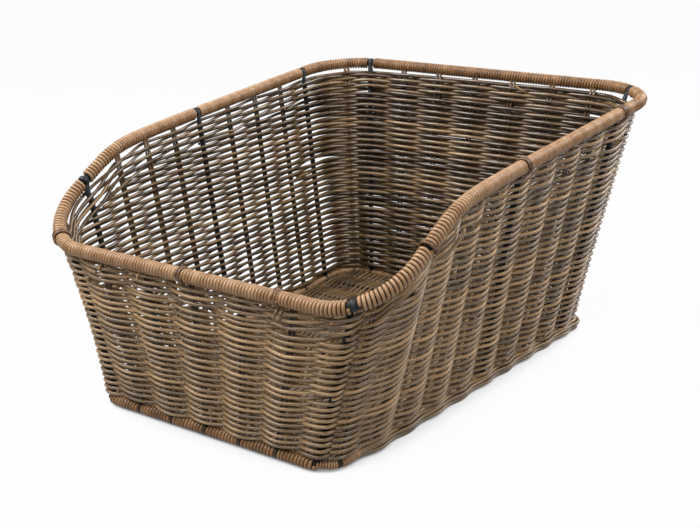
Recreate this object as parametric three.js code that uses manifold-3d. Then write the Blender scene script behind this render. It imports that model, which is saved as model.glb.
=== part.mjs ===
// Rear bicycle basket of round cane woven over a steel frame.
// Millimetres. X is the width, +Y points to the rear, Z is up, and the floor stands on Z = 0.
import * as THREE from "three";
import { mergeVertices } from "three/addons/utils/BufferGeometryUtils.js";
import Module from "manifold-3d";

// Rim: sizes between the rod's centrelines
const RIM_LENGTH = 448;
const RIM_FRONT_WIDTH = 324;
const RIM_REAR_WIDTH = 364;
const RIM_FRONT_CORNER = 51;
const RIM_REAR_CORNER = 55;
const RIM_FRONT_HEIGHT = 134;
const RIM_REAR_HEIGHT = 222.5;
const KNEE_HEIGHT = 193.5;
const KNEE_FROM_FRONT = 94;
const KNEE_EASE = 6;

// Base ring: sizes between the rod's centrelines
const BASE_LENGTH = 387;
const BASE_FRONT_WIDTH = 226;
const BASE_REAR_WIDTH = 274;
const BASE_FRONT_CORNER = 20;
const BASE_REAR_CORNER = 26;
const BASE_HEIGHT = 5.2;
const FRONT_OVERHANG = 15.5;

// Rods, strands and woven panels
const RIM_ROD = 6;
const BASE_ROD = 4;
const FLOOR_RIB = 4;
const STEEL_STAKE = 5;
const WICKER_STRAND = 3;
const WICKER_PAIR_SPACING = 3.7;
const RIM_BINDING = 2.8;
const RIM_BINDING_PITCH = 16;
const BASE_BINDING = 2.4;
const BASE_BINDING_PITCH = 11;
const WALL_THICKNESS = 11.5;
const WALL_WAIST = 5;
const WALL_TOP_INSET = 3;
const FLOOR_THICKNESS = 8.5;
const FLOOR_WAIST = 6;
const FRONT_REVEAL = 0.6;
const SIDE_REVEAL = 0.6;
const REAR_REVEAL = 1.4;
const BINDING_END_CANES = 1.5;
const HOOK_DROP = 12;
const HOOK_TURN = THREE.MathUtils.degToRad(220);
const FIT_GAP = 0.3;

// Facets
const ARC_DIVISIONS = 3;
const LONGEST_CHORD = 40;
const ROD_SIDES = 8;
const STAKE_SIDES = 6;
const WICKER_SIDES = 5;
const BINDING_SIDES = 4;
const TURN_STEPS = 8;
const HOOK_STEPS = 6;
const BEND_STEPS = 4;
const SLOT_STEPS = 4;
const COLUMNS_PER_STAKE = 4;

// Stations count round the basket: 0 front centre, 1 front right corner, 2 rear right corner,
// 3 rear centre, 4 rear left corner, 5 front left corner, 6 front centre again.
const LAST_STATION = 6;

// Each steel stake's hook on the rim and foot on the base ring, as stations, and the bay of wicker stakes
// after it. On the right side the feet stand farther to the rear than the hooks.
const FRONT_BAY = "front";
const STEEL_STAKES = [
  { name: "front_right", rim: 0.92, base: 0.91, bay: "front_corner_right", wickers: 1 },
  { name: "side_front_right", rim: 1.113, base: 1.13, bay: "side_front_right", wickers: 3 },
  { name: "side_middle_right", rim: 1.421, base: 1.53, bay: "side_rear_right", wickers: 3 },
  { name: "side_rear_right", rim: 1.825, base: 1.9, bay: "rear_corner_right", wickers: 1 },
  { name: "rear_right", rim: 2.055, base: 2.04, bay: "rear", wickers: 6 },
  { name: "rear_left", rim: 3.8, base: 3.8, bay: "rear_corner_left", wickers: 1 },
  { name: "side_rear_left", rim: 4.13, base: 4.1, bay: "side_rear_left", wickers: 3 },
  { name: "side_middle_left", rim: 4.54, base: 4.54, bay: "side_front_left", wickers: 3 },
  { name: "side_front_left", rim: 4.887, base: 4.91, bay: "front_corner_left", wickers: 1 },
  { name: "front_left", rim: 5.077, base: 5.04, bay: FRONT_BAY, wickers: 5 },
];

// The floor's weave has crosswise lines at even spaces, and steel ribs lie in some of them.
const FLOOR_SPACES = 9;
const RIB_LINES = { front: 1, middle: 4, rear: 8 };

const wasm = await Module();
wasm.setup();

const UP = new THREE.Vector3(0, 0, 1);
const steel = new THREE.MeshStandardMaterial({ color: 0x16191b, roughness: 0.35, metalness: 0.4 });
const binding = new THREE.MeshStandardMaterial({ color: 0x8a5f41, roughness: 0.5, metalness: 0 });
const wicker = new THREE.MeshStandardMaterial({ color: 0x5c412d, roughness: 0.55, metalness: 0 });
const weave = new THREE.MeshStandardMaterial({ color: 0x4d3a2c, roughness: 0.6, metalness: 0 });

// Plan outlines

// A trapezoid with round corners, drawn anticlockwise from the middle of its front edge.
function roundedTrapezoid(spec, inset = 0) {
  const flare = (spec.rearWidth - spec.frontWidth) / 2 / (spec.rearY - spec.frontY);
  const sideInset = inset * Math.hypot(1, flare);
  const halfWidth = (y) => spec.frontWidth / 2 + (y - spec.frontY) * flare - sideInset;
  const frontY = spec.frontY + inset;
  const rearY = spec.rearY - inset;
  const front = { x: halfWidth(frontY), y: frontY, radius: spec.frontCorner - inset };
  const rear = { x: halfWidth(rearY), y: rearY, radius: spec.rearCorner - inset };
  const corners = [front, rear, { ...rear, x: -rear.x }, { ...front, x: -front.x }];
  const path = new THREE.Path();
  path.moveTo(0, frontY);
  corners.forEach((corner, i) => {
    const place = ({ x, y }) => new THREE.Vector2(x, y);
    const here = place(corner);
    const before = place(corners.at(i - 1));
    const after = place(corners[(i + 1) % corners.length]);
    const arriving = here.clone().sub(before).normalize();
    const leaving = after.clone().sub(here).normalize();
    const turn = Math.acos(arriving.dot(leaving));
    const start = here.clone().addScaledVector(arriving, -corner.radius * Math.tan(turn / 2));
    const centre = start.clone().add(place({ x: -arriving.y, y: arriving.x }).multiplyScalar(corner.radius));
    const startAngle = arriving.angle() - Math.PI / 2;
    path.lineTo(start.x, start.y);
    path.absarc(centre.x, centre.y, corner.radius, startAngle, startAngle + turn, false);
  });
  path.lineTo(0, frontY);
  return path;
}

// A closed centreline of straight chords, entered by a station.
class Loop {
  constructor(path, heightAt) {
    const drawn = path.getPoints(ARC_DIVISIONS);
    this.points = [];
    for (let i = 0; i + 1 < drawn.length; i++) {
      const steps = Math.ceil(drawn[i].distanceTo(drawn[i + 1]) / LONGEST_CHORD);
      for (let k = 0; k < steps; k++) {
        const plan = drawn[i].clone().lerp(drawn[i + 1], k / steps);
        this.points.push(new THREE.Vector3(plan.x, plan.y, heightAt(plan.y)));
      }
    }
    const count = this.points.length;
    this.tangents = this.points.map((_, i) =>
      this.points[(i + 1) % count].clone().sub(this.points.at(i - 1)).normalize());
    this.distances = [0];
    this.points.forEach((point, i) => {
      const chord = this.points[(i + 1) % count].clone().sub(point);
      this.distances.push(this.distances[i] + Math.hypot(chord.x, chord.y));
    });
    this.length = this.distances[count];
    this.marks = [0, this.cornerDistance(1, -1), this.cornerDistance(1, 1), this.length / 2];
    this.marks.push(this.length - this.marks[2], this.length - this.marks[1], this.length);
  }

  // The distance along the loop to the point that lies farthest towards one corner.
  cornerDistance(sideX, sideY) {
    const reach = this.points.map((p) => sideX * p.x + sideY * p.y);
    return this.distances[reach.indexOf(Math.max(...reach))];
  }

  // The plan distance of a station, which may lie in a later round.
  distanceAt(station) {
    const round = Math.floor(station / LAST_STATION);
    const within = station - round * LAST_STATION;
    const whole = Math.floor(within);
    const local = THREE.MathUtils.lerp(this.marks[whole], this.marks[whole + 1], within - whole);
    return local + round * this.length;
  }

  frameAtDistance(distance) {
    const along = THREE.MathUtils.euclideanModulo(distance, this.length);
    const i = this.distances.findIndex((d) => d > along) - 1;
    const next = (i + 1) % this.points.length;
    const share = (along - this.distances[i]) / (this.distances[i + 1] - this.distances[i]);
    const centre = this.points[i].clone().lerp(this.points[next], share);
    const tangent = this.tangents[i].clone().lerp(this.tangents[next], share).normalize();
    const inward = UP.clone().cross(tangent).normalize();
    return { centre, tangent, inward, up: tangent.clone().cross(inward) };
  }

  frame(station) {
    return this.frameAtDistance(this.distanceAt(station));
  }
}

const rimOutline = {
  frontWidth: RIM_FRONT_WIDTH,
  rearWidth: RIM_REAR_WIDTH,
  frontY: -RIM_LENGTH / 2,
  rearY: RIM_LENGTH / 2,
  frontCorner: RIM_FRONT_CORNER,
  rearCorner: RIM_REAR_CORNER,
};
const baseOutline = {
  frontWidth: BASE_FRONT_WIDTH,
  rearWidth: BASE_REAR_WIDTH,
  frontY: -RIM_LENGTH / 2 + FRONT_OVERHANG,
  rearY: -RIM_LENGTH / 2 + FRONT_OVERHANG + BASE_LENGTH,
  frontCorner: BASE_FRONT_CORNER,
  rearCorner: BASE_REAR_CORNER,
};

// The rim's height: a steep climb and a gentle one, eased into each other at the knee.
function rimHeight(y) {
  const kneeY = rimOutline.frontY + KNEE_FROM_FRONT;
  const steepSlope = (KNEE_HEIGHT - RIM_FRONT_HEIGHT) / KNEE_FROM_FRONT;
  const gentleSlope = (RIM_REAR_HEIGHT - KNEE_HEIGHT) / (rimOutline.rearY - kneeY);
  const steepHeight = KNEE_HEIGHT + (y - kneeY) * steepSlope;
  const gentleHeight = KNEE_HEIGHT + (y - kneeY) * gentleSlope;
  return (steepHeight + gentleHeight) / 2 - Math.hypot((steepHeight - gentleHeight) / 2, KNEE_EASE);
}

const rim = new Loop(roundedTrapezoid(rimOutline), rimHeight);
const base = new Loop(roundedTrapezoid(baseOutline), () => BASE_HEIGHT);

// Strands and solids

function circleSection(radius, sides) {
  const points = [];
  for (let k = 0; k < sides; k++) {
    const angle = (2 * Math.PI * k) / sides;
    points.push(new THREE.Vector2(radius * Math.cos(angle), radius * Math.sin(angle)));
  }
  return points;
}

function rectangleSection(halfA, halfB) {
  return [[1, 1], [-1, 1], [-1, -1], [1, -1]].map(([a, b]) => new THREE.Vector2(a * halfA, b * halfB));
}

// A section swept along points. Its first axis leans on the reference, one for each point.
function strand(points, references, section, closed = false) {
  const count = points.length;
  const sides = section.length;
  const positions = [];
  points.forEach((point, i) => {
    const after = closed ? points[(i + 1) % count] : points[Math.min(i + 1, count - 1)];
    const before = closed ? points.at(i - 1) : points[Math.max(i - 1, 0)];
    const along = after.clone().sub(before).normalize();
    const first = references[i].clone().addScaledVector(along, -references[i].dot(along)).normalize();
    const second = along.clone().cross(first);
    for (const corner of section) {
      const place = point.clone().addScaledVector(first, corner.x).addScaledVector(second, corner.y);
      positions.push(place.x, place.y, place.z);
    }
  });
  const faces = [];
  const spans = closed ? count : count - 1;
  for (let i = 0; i < spans; i++) {
    for (let k = 0; k < sides; k++) {
      const here = i * sides + k;
      const beside = i * sides + ((k + 1) % sides);
      const ahead = ((i + 1) % count) * sides + k;
      const across = ((i + 1) % count) * sides + ((k + 1) % sides);
      faces.push(here, beside, ahead, beside, across, ahead);
    }
  }
  if (!closed) {
    const last = (count - 1) * sides;
    for (let k = 1; k + 1 < sides; k++) {
      faces.push(0, k + 1, k, last, last + k, last + k + 1);
    }
  }
  return indexedGeometry(positions, faces);
}

function indexedGeometry(positions, faces) {
  const geometry = new THREE.BufferGeometry();
  geometry.setAttribute("position", new THREE.Float32BufferAttribute(positions, 3));
  geometry.setIndex(faces);
  return geometry;
}

function solidOf(geometry) {
  const bare = geometry.clone();
  bare.deleteAttribute("normal");
  bare.deleteAttribute("uv");
  const merged = mergeVertices(bare);
  return new wasm.Manifold(new wasm.Mesh({
    numProp: 3,
    vertProperties: merged.attributes.position.array,
    triVerts: new Uint32Array(merged.index.array),
  }));
}

function cutAway(solid, cutters) {
  const left = cutters.reduce((rest, cutter) => rest.subtract(solidOf(cutter)), solid);
  const mesh = left.getMesh();
  return indexedGeometry([...mesh.vertProperties], [...mesh.triVerts]);
}

const basket = new THREE.Group();

function addPiece(name, geometry, material) {
  geometry.computeVertexNormals();
  const mesh = new THREE.Mesh(geometry, material);
  mesh.name = name;
  basket.add(mesh);
}

// Stakes

// A bay runs from one steel stake to the next, which lies a whole round on where the stations start again.
const bays = STEEL_STAKES.map((stake, i) => {
  const next = STEEL_STAKES[(i + 1) % STEEL_STAKES.length];
  const round = i + 1 === STEEL_STAKES.length ? LAST_STATION : 0;
  const to = { rim: next.rim + round, base: next.base + round };
  return { name: stake.bay, wickers: stake.wickers, from: stake, to };
});

function placeBetween(from, to, share) {
  const { lerp } = THREE.MathUtils;
  return { rim: lerp(from.rim, to.rim, share), base: lerp(from.base, to.base, share) };
}

const wickerStakes = bays.flatMap(({ name, wickers, from, to }) =>
  Array.from({ length: wickers }, (_, k) => ({
    name: wickers > 1 ? `${name}_${k + 1}` : name,
    bay: name,
    ...placeBetween(from, to, (k + 1) / (wickers + 1)),
  })));

// Clear distances from the rods to what lies against them
const hookHalfStep = HOOK_TURN / HOOK_STEPS / 2;
const hookRadius = (RIM_ROD / 2 + FIT_GAP + STEEL_STAKE / 2) / Math.cos(hookHalfStep);
const turnRadius = (rod, cane) => (rod / 2 + FIT_GAP + cane / 2) / Math.cos(Math.PI / TURN_STEPS);
const rimBound = turnRadius(RIM_ROD, RIM_BINDING) + RIM_BINDING / 2 + FIT_GAP;
const baseBound = turnRadius(BASE_ROD, BASE_BINDING) + BASE_BINDING / 2 + FIT_GAP;
const wallBottom = BASE_HEIGHT + baseBound;

// The middle of the wall at one place: a straight line from the base ring to just inside the rim.
function wallLine(place) {
  const foot = base.frame(place.base);
  const head = rim.frame(place.rim);
  const top = head.centre.clone().addScaledVector(head.inward, WALL_TOP_INSET);
  const at = (z) => foot.centre.clone().lerp(top, (z - foot.centre.z) / (top.z - foot.centre.z));
  const lean = foot.centre.clone().sub(top).dot(head.inward) / (top.z - foot.centre.z);
  const level = Math.hypot(head.tangent.x, head.tangent.y);
  return { foot, head, at, lean, level, slope: head.tangent.z / level };
}

// The height where the weave stops below the rim.
function wallTop(line) {
  const y = line.head.centre.y;
  const kneeY = rimOutline.frontY + KNEE_FROM_FRONT;
  const { lerp, smoothstep } = THREE.MathUtils;
  const shoulder = lerp(FRONT_REVEAL, SIDE_REVEAL, smoothstep(y, rimOutline.frontY, kneeY));
  const reveal = lerp(shoulder, REAR_REVEAL, smoothstep(y, kneeY, rimOutline.rearY));
  return line.head.centre.z - (rimBound + reveal) / line.level;
}

// A steel stake climbs the wall, steps inward below the rim rod and hooks over it.
function steelRoute(place) {
  const { foot, head, lean, level } = wallLine(place);
  const below = head.centre.clone().addScaledVector(head.up, -HOOK_DROP);
  below.addScaledVector(head.inward, WALL_TOP_INSET + (lean * HOOK_DROP) / level);
  const leg = below.clone().sub(foot.centre);
  const footDip = (Math.hypot(leg.x, leg.y) / leg.z) * (STEEL_STAKE / 2);
  const footHeight = BASE_HEIGHT + BASE_ROD / 2 + FIT_GAP + footDip;
  const points = [foot.centre.clone().setZ(footHeight), below];
  for (let k = 0; k <= HOOK_STEPS; k++) {
    const angle = (HOOK_TURN * k) / HOOK_STEPS;
    const place = head.centre.clone().addScaledVector(head.inward, hookRadius * Math.cos(angle));
    points.push(place.addScaledVector(head.up, hookRadius * Math.sin(angle)));
  }
  return { points, references: points.map(() => head.tangent) };
}

function steelStakeGeometry(place, clearance = 0) {
  const { points, references } = steelRoute(place);
  const radius = STEEL_STAKE / 2 + clearance / Math.cos(Math.PI / STAKE_SIDES);
  return strand(points, references, circleSection(radius, STAKE_SIDES));
}

// A wicker stake is one strand doubled: two legs side by side, joined by a bend over the base ring.
function wickerStakeGeometry(stake) {
  const line = wallLine(stake);
  const ringRadius = stake.bay === FRONT_BAY ? baseBound : BASE_ROD / 2 + FIT_GAP;
  const legOffset = WICKER_PAIR_SPACING / 2;
  const bendHeight = BASE_HEIGHT + ringRadius + WICKER_STRAND / 2 + legOffset;
  const legTop = (side) => {
    const z = line.head.centre.z + side * legOffset * line.slope - rimBound / line.level;
    return line.at(z).addScaledVector(line.head.tangent.clone().setZ(0).normalize(), side * legOffset);
  };
  const bendCentre = line.at(bendHeight);
  const points = [legTop(-1)];
  for (let k = 0; k <= BEND_STEPS; k++) {
    const angle = Math.PI * (1 + k / BEND_STEPS);
    const place = bendCentre.clone().addScaledVector(line.foot.tangent, legOffset * Math.cos(angle));
    points.push(place.addScaledVector(UP, legOffset * Math.sin(angle)));
  }
  points.push(legTop(1));
  return strand(points, points.map(() => line.foot.inward), circleSection(WICKER_STRAND / 2, WICKER_SIDES));
}

// The slot that a wicker stake runs through in the wall. It turns with the wall from foot to head.
function wickerSlot(place) {
  const line = wallLine(place);
  const across = WICKER_PAIR_SPACING / 2 + WICKER_STRAND / 2 + FIT_GAP;
  const through = WICKER_STRAND / 2 + FIT_GAP;
  const shares = Array.from({ length: SLOT_STEPS + 1 }, (_, k) => k / SLOT_STEPS);
  const points = shares.map((share) => line.at(THREE.MathUtils.lerp(BASE_HEIGHT, line.head.centre.z, share)));
  const references = shares.map((share) => line.foot.inward.clone().lerp(line.head.inward, share));
  return strand(points, references, rectangleSection(through, across));
}

// Woven panels

// The wall swells where its strands pass round a stake and narrows halfway, where they cross.
function wallGeometry() {
  const columns = bays.flatMap(({ wickers, from, to }) => {
    const steps = COLUMNS_PER_STAKE * (wickers + 1);
    return Array.from({ length: steps }, (_, k) => {
      const swell = (1 + Math.cos((2 * Math.PI * k) / COLUMNS_PER_STAKE)) / 2;
      const half = THREE.MathUtils.lerp(WALL_WAIST, WALL_THICKNESS, swell) / 2;
      return { line: wallLine(placeBetween(from, to, k / steps)), half };
    });
  });
  const positions = [];
  for (const { line, half } of columns) {
    const bottom = line.at(wallBottom);
    const top = line.at(wallTop(line));
    const outline = [
      bottom.clone().addScaledVector(line.foot.inward, -half),
      bottom.clone().addScaledVector(line.foot.inward, half),
      top.clone().addScaledVector(line.head.inward, half),
      top.clone().addScaledVector(line.head.inward, -half),
    ];
    outline.forEach((p) => positions.push(p.x, p.y, p.z));
  }
  const faces = [];
  const corners = 4;
  for (let i = 0; i < columns.length; i++) {
    const next = (i + 1) % columns.length;
    for (let k = 0; k < corners; k++) {
      const beside = (k + 1) % corners;
      const here = i * corners;
      const ahead = next * corners;
      faces.push(here + k, here + beside, ahead + k, here + beside, ahead + beside, ahead + k);
    }
  }
  const cutters = [
    ...STEEL_STAKES.map((stake) => steelStakeGeometry(stake, FIT_GAP)),
    ...wickerStakes.map(wickerSlot),
  ];
  return cutAway(solidOf(indexedGeometry(positions, faces)), cutters);
}

// The place of one of the floor's crosswise lines. Halves lie between two lines.
function floorLine(number) {
  const from = baseOutline.frontY + baseBound;
  const to = baseOutline.rearY - baseBound;
  return THREE.MathUtils.lerp(from, to, number / FLOOR_SPACES);
}

// A crosswise rib between the two sides of the base ring.
function ribGeometry(line, clearance = 0) {
  const y = floorLine(line);
  const flare = (BASE_REAR_WIDTH - BASE_FRONT_WIDTH) / 2 / BASE_LENGTH;
  const halfWidth = BASE_FRONT_WIDTH / 2 + (y - baseOutline.frontY) * flare;
  const reach = halfWidth - BASE_ROD / 2 - FIT_GAP;
  const points = [-reach, reach].map((x) => new THREE.Vector3(x, y, BASE_HEIGHT));
  const radius = FLOOR_RIB / 2 + clearance / Math.cos(Math.PI / ROD_SIDES);
  return strand(points, [UP, UP], circleSection(radius, ROD_SIDES));
}

// The floor's side view, flat below and with a ridge on each crosswise line, drawn across the whole width.
function floorRidges() {
  const side = new THREE.Shape();
  side.moveTo(floorLine(0), 0);
  for (let k = 0; k <= 2 * FLOOR_SPACES; k++) {
    side.lineTo(floorLine(k / 2), k % 2 === 0 ? FLOOR_THICKNESS : FLOOR_WAIST);
  }
  side.lineTo(floorLine(FLOOR_SPACES), 0);
  const ridges = new THREE.ExtrudeGeometry(side, { depth: BASE_REAR_WIDTH, bevelEnabled: false });
  ridges.translate(0, 0, -BASE_REAR_WIDTH / 2);
  const across = new THREE.Vector3(1, 0, 0);
  const along = new THREE.Vector3(0, 1, 0);
  return ridges.applyMatrix4(new THREE.Matrix4().makeBasis(along, UP, across));
}

function floorGeometry() {
  const outline = roundedTrapezoid(baseOutline, baseBound);
  const shape = new THREE.Shape(outline.getPoints(ARC_DIVISIONS).slice(0, -1));
  const slab = new THREE.ExtrudeGeometry(shape, { depth: FLOOR_THICKNESS, bevelEnabled: false });
  const ridged = solidOf(slab).intersect(solidOf(floorRidges()));
  return cutAway(ridged, Object.values(RIB_LINES).map((line) => ribGeometry(line, FIT_GAP)));
}

// Windings

// One strand wound round a loop between two distances. It starts and stops on the basket's outside,
// where its ends run straight for one diameter.
function winding(loop, from, to, rod, cane, pitch) {
  const turns = Math.max(1, Math.round((to - from) / pitch));
  const radius = turnRadius(rod, cane);
  const points = [];
  const references = [];
  for (let k = 0; k <= turns * TURN_STEPS; k++) {
    const frame = loop.frameAtDistance(THREE.MathUtils.lerp(from, to, k / (turns * TURN_STEPS)));
    const angle = (2 * Math.PI * k) / TURN_STEPS;
    const outward = frame.inward.clone().multiplyScalar(-Math.cos(angle));
    outward.addScaledVector(frame.up, Math.sin(angle));
    points.push(frame.centre.clone().addScaledVector(outward, radius));
    references.push(outward);
  }
  const straightEnd = (end, inner) => end.clone().add(end.clone().sub(inner).setLength(cane));
  points.unshift(straightEnd(points[0], points[1]));
  points.push(straightEnd(points.at(-1), points.at(-2)));
  references.unshift(references[0]);
  references.push(references.at(-1));
  leastGap = Math.min(leastGap, gapToItself(points, cane));
  return strand(points, references, circleSection(cane / 2, BINDING_SIDES));
}

// The least clear space between two stretches of a winding that are half a turn or more apart.
function gapToItself(points, cane) {
  let least = Infinity;
  for (let i = 0; i < points.length; i++) {
    for (let k = i + TURN_STEPS / 2; k < points.length; k++) {
      least = Math.min(least, points[i].distanceTo(points[k]) - cane);
    }
  }
  return least;
}

let leastGap = Infinity;

// Assembly

function ringGeometry(loop, rod) {
  return strand(loop.points, loop.points.map(() => UP), circleSection(rod / 2, ROD_SIDES), true);
}

addPiece("rim_rod", ringGeometry(rim, RIM_ROD), steel);
addPiece("base_rod", ringGeometry(base, BASE_ROD), steel);

for (const stake of STEEL_STAKES) addPiece(`steel_stake_${stake.name}`, steelStakeGeometry(stake), steel);
for (const stake of wickerStakes) addPiece(`wicker_stake_${stake.name}`, wickerStakeGeometry(stake), wicker);

const bindingMargin = STEEL_STAKE / 2 + FIT_GAP + RIM_BINDING * BINDING_END_CANES;
for (const { name, from, to } of bays) {
  const start = rim.distanceAt(from.rim) + bindingMargin;
  const end = rim.distanceAt(to.rim) - bindingMargin;
  addPiece(`rim_binding_${name}`, winding(rim, start, end, RIM_ROD, RIM_BINDING, RIM_BINDING_PITCH), binding);
}

const frontBay = bays.find(({ name }) => name === FRONT_BAY);
const frontStart = base.distanceAt(frontBay.from.base) + bindingMargin;
const frontEnd = base.distanceAt(frontBay.to.base) - bindingMargin;
const frontTurns = winding(base, frontStart, frontEnd, BASE_ROD, BASE_BINDING, BASE_BINDING_PITCH);
addPiece("base_binding_front", frontTurns, binding);

for (const [name, line] of Object.entries(RIB_LINES)) addPiece(`floor_rib_${name}`, ribGeometry(line), steel);

addPiece("woven_wall", wallGeometry(), weave);
addPiece("woven_floor", floorGeometry(), weave);

console.log(`least gap of a winding to itself: ${leastGap.toFixed(2)} mm`);

export default basket;
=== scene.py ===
"""Rear bicycle basket of round cane woven over a steel frame, dressed for a studio picture.

Metres, +Z up, +Y to the rear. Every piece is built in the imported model's own frame.
"""
import bisect
import logging
import math
import random
from collections.abc import Callable, Iterator
from contextlib import contextmanager
from dataclasses import dataclass
from enum import Enum

import bmesh
import bpy
from mathutils import Matrix, Vector, noise


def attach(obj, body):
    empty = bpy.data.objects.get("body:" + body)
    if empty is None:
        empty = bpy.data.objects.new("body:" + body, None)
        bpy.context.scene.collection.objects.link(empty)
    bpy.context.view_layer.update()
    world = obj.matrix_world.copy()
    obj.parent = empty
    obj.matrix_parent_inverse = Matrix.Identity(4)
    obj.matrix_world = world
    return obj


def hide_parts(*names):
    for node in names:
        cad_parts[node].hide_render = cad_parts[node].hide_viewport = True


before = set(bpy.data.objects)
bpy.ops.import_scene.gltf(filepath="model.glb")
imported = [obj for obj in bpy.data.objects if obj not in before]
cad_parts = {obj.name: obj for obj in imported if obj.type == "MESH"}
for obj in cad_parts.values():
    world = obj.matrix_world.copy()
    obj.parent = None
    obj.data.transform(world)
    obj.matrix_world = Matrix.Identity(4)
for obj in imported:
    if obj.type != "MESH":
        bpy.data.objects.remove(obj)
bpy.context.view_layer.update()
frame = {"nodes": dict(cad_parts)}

log = logging.getLogger("basket")

Colour = tuple[float, float, float, float]
Spread = tuple[float, float]
Material = bpy.types.Material
Socket = bpy.types.NodeSocket

UP = Vector((0.0, 0.0, 1.0))
BODY = "root"
STATIONS = 6


def lerp(start: float, end: float, share: float) -> float:
    """Returns the number that lies a share of the way from start to end."""
    return start + (end - start) * share


def smoothstep(value: float, low: float, high: float) -> float:
    """Returns 0 below low, 1 above high and a smooth climb between them."""
    share = min(1.0, max(0.0, (value - low) / (high - low)))
    return share * share * (3.0 - 2.0 * share)


def ease(share: float) -> float:
    """Returns a half cosine from 0 to 1."""
    return (1.0 - math.cos(math.pi * share)) / 2.0


def bow(share: float) -> float:
    """Returns a parabola that is 0 at both ends, and beyond them, and 1 halfway."""
    return 4.0 * max(0.0, share * (1.0 - share))


def corner_share(inward: Vector) -> float:
    """Returns 1 where a level direction points midway between two sides and 0 where it faces one."""
    return (2.0 * inward.x * inward.y) ** 2


# Tubes

class Slot(Enum):
    """The material slots that the finishes belong to."""

    STEEL = "black_steel"
    BINDING = "binding_cane"
    STAKE = "stake_cane"
    WEAVE = "woven_cane"


class Roundness(Enum):
    """How many sides a tube has, as Blender's bevel resolution."""

    SIX = 1
    EIGHT = 2
    TWELVE = 4

    @property
    def sides(self) -> int:
        """The number of sides of the tube."""
        return 4 + 2 * self.value


@dataclass(frozen=True)
class Coat:
    """A material and the slot that it belongs to."""

    material: Material
    slot: Slot


@dataclass
class Strand:
    """One length of cane or rod: its route, and its radius and tone from point to point."""

    points: list[Vector]
    radii: list[float]
    tones: list[float]

    @classmethod
    def even(cls, points: list[Vector], radius: float, tone: float) -> "Strand":
        """Returns a strand of one radius and one tone."""
        return cls(points, [radius] * len(points), [tone] * len(points))

    def distances(self) -> list[float]:
        """Measures the strand from its start.

        Returns:
            The length of cane up to each point.
        """
        along = [0.0]
        for before, after in zip(self.points, self.points[1:]):
            along.append(along[-1] + (after - before).length)
        return along


def add_object(name: str, data: bpy.types.ID) -> bpy.types.Object:
    """Makes an object and links it to the scene.

    Args:
        name: The object's name.
        data: Its mesh, curve, lamp or camera.

    Returns:
        The new object.
    """
    made = bpy.data.objects.new(name, data)
    bpy.context.scene.collection.objects.link(made)
    return made


@contextmanager
def edited(mesh: bpy.types.Mesh) -> Iterator[bmesh.types.BMesh]:
    """Opens a mesh for bmesh operators and writes it back after the block.

    Args:
        mesh: The mesh to change.

    Yields:
        The mesh's shell.
    """
    shell = bmesh.new()
    shell.from_mesh(mesh)
    yield shell
    shell.to_mesh(mesh)
    shell.free()


def bend_tubes(strands: list[Strand], roundness: Roundness) -> bpy.types.Object:
    """Bevels a curve along every strand.

    Args:
        strands: The routes.
        roundness: The number of sides of each tube.

    Returns:
        A curve object that is linked to the scene.
    """
    curve = bpy.data.curves.new("routes", "CURVE")
    curve.dimensions = "3D"
    curve.twist_mode = "MINIMUM"
    curve.bevel_depth = 1.0
    curve.bevel_resolution = roundness.value
    for strand in strands:
        spline = curve.splines.new("POLY")
        spline.points.add(len(strand.points) - 1)
        spline.points.foreach_set("co", [c for p in strand.points for c in (*p, 1.0)])
        spline.points.foreach_set("radius", strand.radii)
    return add_object("routes", curve)


def close_ends(mesh: bpy.types.Mesh) -> None:
    """Fills the open end of every tube with one face.

    Args:
        mesh: The tubes.
    """
    with edited(mesh) as shell:
        for face in shell.faces:
            face.smooth = True
        rims = [edge for edge in shell.edges if edge.is_boundary]
        bmesh.ops.holes_fill(shell, edges=rims, sides=0)
        bmesh.ops.recalc_face_normals(shell, faces=shell.faces[:])


def write_values(mesh: bpy.types.Mesh, name: str, values: list[float]) -> None:
    """Stores one number at each vertex of a mesh."""
    mesh.attributes.new(name, "FLOAT", "POINT").data.foreach_set("value", values)


def make_tubes(
    name: str, strands: list[Strand], roundness: Roundness, coat: Coat, replaced: tuple[str, ...] = ()
) -> bpy.types.Object:
    """Makes one piece of closed tubes that carry their length and tone.

    Args:
        name: The piece's name.
        strands: The routes of the tubes.
        roundness: The number of sides of each tube.
        coat: The finish.
        replaced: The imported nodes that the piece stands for.

    Returns:
        The finished piece, which rides on the body.
    """
    routes = bend_tubes(strands, roundness)
    graph = bpy.context.evaluated_depsgraph_get()
    mesh = bpy.data.meshes.new_from_object(routes.evaluated_get(graph))
    curve = routes.data
    bpy.data.objects.remove(routes)
    bpy.data.curves.remove(curve)
    ring = range(roundness.sides)
    write_values(mesh, "along", [d for s in strands for d in s.distances() for _ in ring])
    write_values(mesh, "tone", [t for s in strands for t in s.tones for _ in ring])
    close_ends(mesh)
    mesh.materials.clear()
    mesh.materials.append(coat.material)
    piece = add_object(name, mesh)
    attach(piece, BODY)
    if replaced:
        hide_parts(*replaced)
    log.info("%s: %d strands, %d faces", name, len(strands), len(mesh.polygons))
    return piece


# Rings and wall

@dataclass(frozen=True)
class Place:
    """A point on a ring, with the ring's directions there."""

    centre: Vector
    tangent: Vector
    inward: Vector
    up: Vector


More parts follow.
